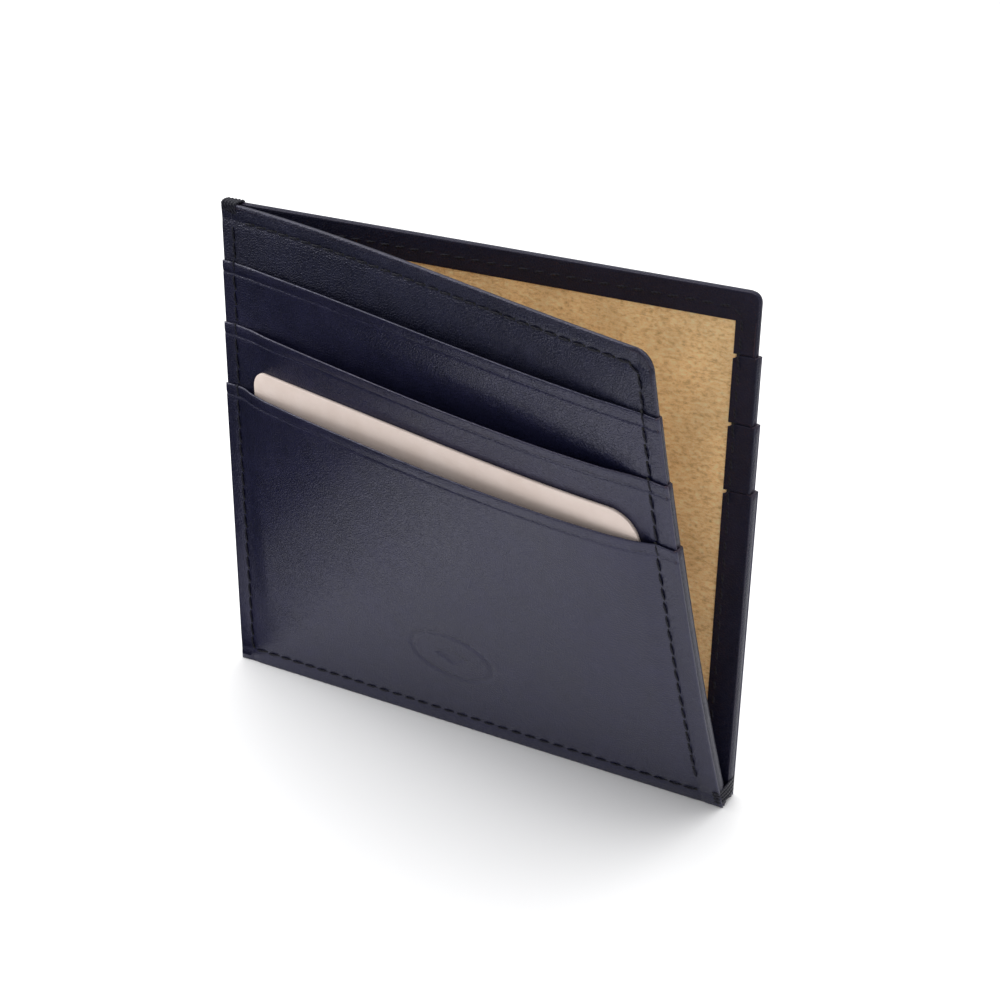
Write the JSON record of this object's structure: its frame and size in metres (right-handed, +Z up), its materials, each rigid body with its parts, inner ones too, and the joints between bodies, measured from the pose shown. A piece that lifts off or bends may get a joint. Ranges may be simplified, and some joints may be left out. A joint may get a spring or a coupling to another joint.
{
  "type": "card holder",
  "caption": "Leather card holder with stepped card pockets on both faces, an open centre compartment and a blank card in a front pocket.",
  "frame": {"origin": "middle of the bottom edge, on the plane where the front and rear halves meet", "axes": "+X to the right along the bottom edge, +Y towards the rear half, +Z up"},
  "size_m": [0.1, 0.0333, 0.09],
  "materials": {
    "navy_leather": "smooth polished grain leather, semi-gloss",
    "suede_lining": "napped suede, matt",
    "stitching_thread": "waxed thread",
    "bar_tack_thread": "dense satin-stitched thread",
    "blank_card": "matt"
  },
  "bodies": {
    "front_and_seams": {"front_body_panel": "navy_leather", "front_lining": "suede_lining", "front_upper_pocket": "navy_leather", "front_middle_pocket": "navy_leather", "front_lower_pocket": "navy_leather", "front_edge_stitching": "stitching_thread", "rear_body_panel_seam_side": "navy_leather", "rear_lining_seam_side": "suede_lining", "rear_upper_pocket_seam_side": "navy_leather", "rear_middle_pocket_seam_side": "navy_leather", "rear_lower_pocket_seam_side": "navy_leather", "joining_seam_front": "stitching_thread", "joining_seam_rear": "stitching_thread", "bar_tack_top_left": "bar_tack_thread", "bar_tack_bottom_right": "bar_tack_thread"},
    "rear_free_side": {"rear_body_panel_free_side": "navy_leather", "rear_lining_free_side": "suede_lining", "rear_upper_pocket_free_side": "navy_leather", "rear_middle_pocket_free_side": "navy_leather", "rear_lower_pocket_free_side": "navy_leather", "rear_edge_stitching": "stitching_thread"},
    "card": {"card": "blank_card"}
  },
  "joints": [
    {"name": "rear_half_flex", "type": "hinge", "parent": "front_and_seams", "child": "rear_free_side", "pos_m": [-0.0455, 0, 0.09], "axis": [0.747, 0, -0.6648], "range_deg": [-10, 20], "stiffness_Nm_per_rad": 0.05},
    {"name": "card_slide", "type": "slide", "parent": "front_and_seams", "child": "card", "axis": [0, -0.3387, 0.9409], "range_m": [0, 0.058], "deforming": ["card"]}
  ]
}
